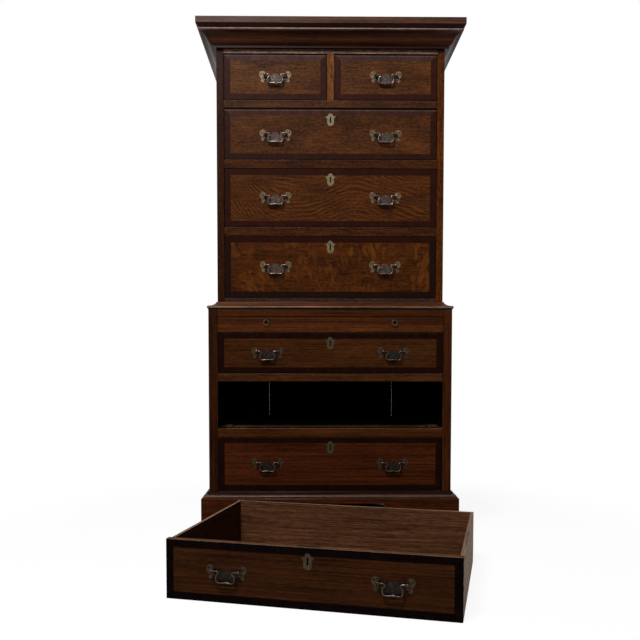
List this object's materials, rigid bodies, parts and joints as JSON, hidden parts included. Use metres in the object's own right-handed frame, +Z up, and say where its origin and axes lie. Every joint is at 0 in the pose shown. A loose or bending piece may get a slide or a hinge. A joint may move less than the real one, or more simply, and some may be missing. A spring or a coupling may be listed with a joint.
{
  "type": "chest on chest",
  "caption": "Tall chest on chest with moulded cornice, crossbanded drawer fronts, swan-neck handles and a brushing slide on a bracket base; a long drawer stands in front.",
  "frame": {"origin": "on the floor, under the middle of the front of the lower case, in the plane of its drawer fronts", "axes": "+Z up, +X to the right of someone facing the drawers, +Y from the front to the back"},
  "size_m": [0.943, 1.4692, 1.8425],
  "materials": {
    "oak_polished": "wax-polished oak, dark brown",
    "oak_plain": "unfinished secondary oak, dry and dusty",
    "brass": "old cast brass, tarnished",
    "steel": "dull filed steel"
  },
  "bodies": {
    "carcase": {"bracket_base": "oak_polished", "base_moulding": "oak_polished", "lower_sides": "oak_polished", "lower_face_frame": "oak_polished", "lower_inner_boards": "oak_plain", "lower_back_boards": "oak_plain", "waist_moulding": "oak_polished", "upper_sides": "oak_polished", "upper_face_frame": "oak_polished", "upper_inner_boards": "oak_plain", "upper_back_boards": "oak_plain", "cornice": "oak_polished"},
    "short_left_drawer": {"short_left_front": "oak_polished", "short_left_box": "oak_plain", "short_left_brasses": "brass"},
    "short_left_bail": {"short_left_bail": "brass"},
    "short_right_drawer": {"short_right_front": "oak_polished", "short_right_box": "oak_plain", "short_right_brasses": "brass"},
    "short_right_bail": {"short_right_bail": "brass"},
    "upper_top_drawer": {"upper_top_front": "oak_polished", "upper_top_box": "oak_plain", "upper_top_brasses": "brass"},
    "upper_top_bail_left": {"upper_top_bail_left": "brass"},
    "upper_top_bail_right": {"upper_top_bail_right": "brass"},
    "upper_top_lock_bolt": {"upper_top_lock_bolt": "steel"},
    "upper_middle_drawer": {"upper_middle_front": "oak_polished", "upper_middle_box": "oak_plain", "upper_middle_brasses": "brass"},
    "upper_middle_bail_left": {"upper_middle_bail_left": "brass"},
    "upper_middle_bail_right": {"upper_middle_bail_right": "brass"},
    "upper_middle_lock_bolt": {"upper_middle_lock_bolt": "steel"},
    "upper_bottom_drawer": {"upper_bottom_front": "oak_polished", "upper_bottom_box": "oak_plain", "upper_bottom_brasses": "brass"},
    "upper_bottom_bail_left": {"upper_bottom_bail_left": "brass"},
    "upper_bottom_bail_right": {"upper_bottom_bail_right": "brass"},
    "upper_bottom_lock_bolt": {"upper_bottom_lock_bolt": "steel"},
    "lower_top_drawer": {"lower_top_front": "oak_polished", "lower_top_box": "oak_plain", "lower_top_brasses": "brass"},
    "lower_top_bail_left": {"lower_top_bail_left": "brass"},
    "lower_top_bail_right": {"lower_top_bail_right": "brass"},
    "lower_top_lock_bolt": {"lower_top_lock_bolt": "steel"},
    "lower_bottom_drawer": {"lower_bottom_front": "oak_polished", "lower_bottom_box": "oak_plain", "lower_bottom_brasses": "brass"},
    "lower_bottom_bail_left": {"lower_bottom_bail_left": "brass"},
    "lower_bottom_bail_right": {"lower_bottom_bail_right": "brass"},
    "lower_bottom_lock_bolt": {"lower_bottom_lock_bolt": "steel"},
    "loose_drawer": {"loose_front": "oak_polished", "loose_box": "oak_plain", "loose_brasses": "brass"},
    "loose_bail_left": {"loose_bail_left": "brass"},
    "loose_bail_right": {"loose_bail_right": "brass"},
    "loose_lock_bolt": {"loose_lock_bolt": "steel"},
    "brushing_slide": {"brushing_slide": "oak_polished", "slide_brasses": "brass"},
    "slide_ring_left": {"slide_ring_left": "brass"},
    "slide_ring_right": {"slide_ring_right": "brass"}
  },
  "joints": [
    {"name": "short_left_drawer_slide", "type": "slide", "parent": "carcase", "child": "short_left_drawer", "axis": [0, -1, 0], "range_m": [0, 0.4]},
    {"name": "short_right_drawer_slide", "type": "slide", "parent": "carcase", "child": "short_right_drawer", "axis": [0, -1, 0], "range_m": [0, 0.4]},
    {"name": "upper_top_drawer_slide", "type": "slide", "parent": "carcase", "child": "upper_top_drawer", "axis": [0, -1, 0], "range_m": [0, 0.4]},
    {"name": "upper_middle_drawer_slide", "type": "slide", "parent": "carcase", "child": "upper_middle_drawer", "axis": [0, -1, 0], "range_m": [0, 0.4]},
    {"name": "upper_bottom_drawer_slide", "type": "slide", "parent": "carcase", "child": "upper_bottom_drawer", "axis": [0, -1, 0], "range_m": [0, 0.4]},
    {"name": "lower_top_drawer_slide", "type": "slide", "parent": "carcase", "child": "lower_top_drawer", "axis": [0, -1, 0], "range_m": [0, 0.42]},
    {"name": "lower_bottom_drawer_slide", "type": "slide", "parent": "carcase", "child": "lower_bottom_drawer", "axis": [0, -1, 0], "range_m": [0, 0.42]},
    {"name": "brushing_slide_slide", "type": "slide", "parent": "carcase", "child": "brushing_slide", "axis": [0, -1, 0], "range_m": [0, 0.3]},
    {"name": "loose_drawer_slide", "type": "slide", "parent": "carcase", "child": "loose_drawer", "axis": [-0.2487, -0.9686, 0], "range_m": [0, 0.3]},
    {"name": "short_left_bail_swing", "type": "hinge", "parent": "short_left_drawer", "child": "short_left_bail", "pos_m": [-0.19725, 0.017, 1.66405], "axis": [-1, 0, 0], "range_deg": [0, 85]},
    {"name": "short_right_bail_swing", "type": "hinge", "parent": "short_right_drawer", "child": "short_right_bail", "pos_m": [0.19725, 0.017, 1.66405], "axis": [-1, 0, 0], "range_deg": [0, 85]},
    {"name": "upper_top_bail_left_swing", "type": "hinge", "parent": "upper_top_drawer", "child": "upper_top_bail_left", "pos_m": [-0.197, 0.017, 1.45855], "axis": [-1, 0, 0], "range_deg": [0, 85]},
    {"name": "upper_top_bail_right_swing", "type": "hinge", "parent": "upper_top_drawer", "child": "upper_top_bail_right", "pos_m": [0.197, 0.017, 1.45855], "axis": [-1, 0, 0], "range_deg": [0, 85]},
    {"name": "upper_middle_bail_left_swing", "type": "hinge", "parent": "upper_middle_drawer", "child": "upper_middle_bail_left", "pos_m": [-0.197, 0.017, 1.23805], "axis": [-1, 0, 0], "range_deg": [0, 85]},
    {"name": "upper_middle_bail_right_swing", "type": "hinge", "parent": "upper_middle_drawer", "child": "upper_middle_bail_right", "pos_m": [0.197, 0.017, 1.23805], "axis": [-1, 0, 0], "range_deg": [0, 85]},
    {"name": "upper_bottom_bail_left_swing", "type": "hinge", "parent": "upper_bottom_drawer", "child": "upper_bottom_bail_left", "pos_m": [-0.197, 0.017, 0.99155], "axis": [-1, 0, 0], "range_deg": [0, 85]},
    {"name": "upper_bottom_bail_right_swing", "type": "hinge", "parent": "upper_bottom_drawer", "child": "upper_bottom_bail_right", "pos_m": [0.197, 0.017, 0.99155], "axis": [-1, 0, 0], "range_deg": [0, 85]},
    {"name": "lower_top_bail_left_swing", "type": "hinge", "parent": "lower_top_drawer", "child": "lower_top_bail_left", "pos_m": [-0.226, -0.013, 0.68205], "axis": [-1, 0, 0], "range_deg": [0, 85]},
    {"name": "lower_top_bail_right_swing", "type": "hinge", "parent": "lower_top_drawer", "child": "lower_top_bail_right", "pos_m": [0.226, -0.013, 0.68205], "axis": [-1, 0, 0], "range_deg": [0, 85]},
    {"name": "lower_bottom_bail_left_swing", "type": "hinge", "parent": "lower_bottom_drawer", "child": "lower_bottom_bail_left", "pos_m": [-0.226, -0.013, 0.2813], "axis": [-1, 0, 0], "range_deg": [0, 85]},
    {"name": "lower_bottom_bail_right_swing", "type": "hinge", "parent": "lower_bottom_drawer", "child": "lower_bottom_bail_right", "pos_m": [0.226, -0.013, 0.2813], "axis": [-1, 0, 0], "range_deg": [0, 85]},
    {"name": "loose_bail_left_swing", "type": "hinge", "parent": "loose_drawer", "child": "loose_bail_left", "pos_m": [-0.29913, -0.71339, 0.08975], "axis": [-0.9686, 0.2487, 0], "range_deg": [0, 85]},
    {"name": "loose_bail_right_swing", "type": "hinge", "parent": "loose_drawer", "child": "loose_bail_right", "pos_m": [0.13867, -0.82579, 0.08975], "axis": [-0.9686, 0.2487, 0], "range_deg": [0, 85]},
    {"name": "slide_ring_left_swing", "type": "hinge", "parent": "brushing_slide", "child": "slide_ring_left", "pos_m": [-0.23, -0.007, 0.7943], "axis": [-1, 0, 0], "range_deg": [0, 85]},
    {"name": "slide_ring_right_swing", "type": "hinge", "parent": "brushing_slide", "child": "slide_ring_right", "pos_m": [0.23, -0.007, 0.7943], "axis": [-1, 0, 0], "range_deg": [0, 85]},
    {"name": "upper_top_lock_bolt_throw", "type": "slide", "parent": "upper_top_drawer", "child": "upper_top_lock_bolt", "axis": [0, 0, 1], "range_m": [0, 0.006]},
    {"name": "upper_middle_lock_bolt_throw", "type": "slide", "parent": "upper_middle_drawer", "child": "upper_middle_lock_bolt", "axis": [0, 0, 1], "range_m": [0, 0.006]},
    {"name": "upper_bottom_lock_bolt_throw", "type": "slide", "parent": "upper_bottom_drawer", "child": "upper_bottom_lock_bolt", "axis": [0, 0, 1], "range_m": [0, 0.006]},
    {"name": "lower_top_lock_bolt_throw", "type": "slide", "parent": "lower_top_drawer", "child": "lower_top_lock_bolt", "axis": [0, 0, 1], "range_m": [0, 0.006]},
    {"name": "lower_bottom_lock_bolt_throw", "type": "slide", "parent": "lower_bottom_drawer", "child": "lower_bottom_lock_bolt", "axis": [0, 0, 1], "range_m": [0, 0.006]},
    {"name": "loose_lock_bolt_throw", "type": "slide", "parent": "loose_drawer", "child": "loose_lock_bolt", "axis": [0, 0, 1], "range_m": [0, 0.006]}
  ]
}
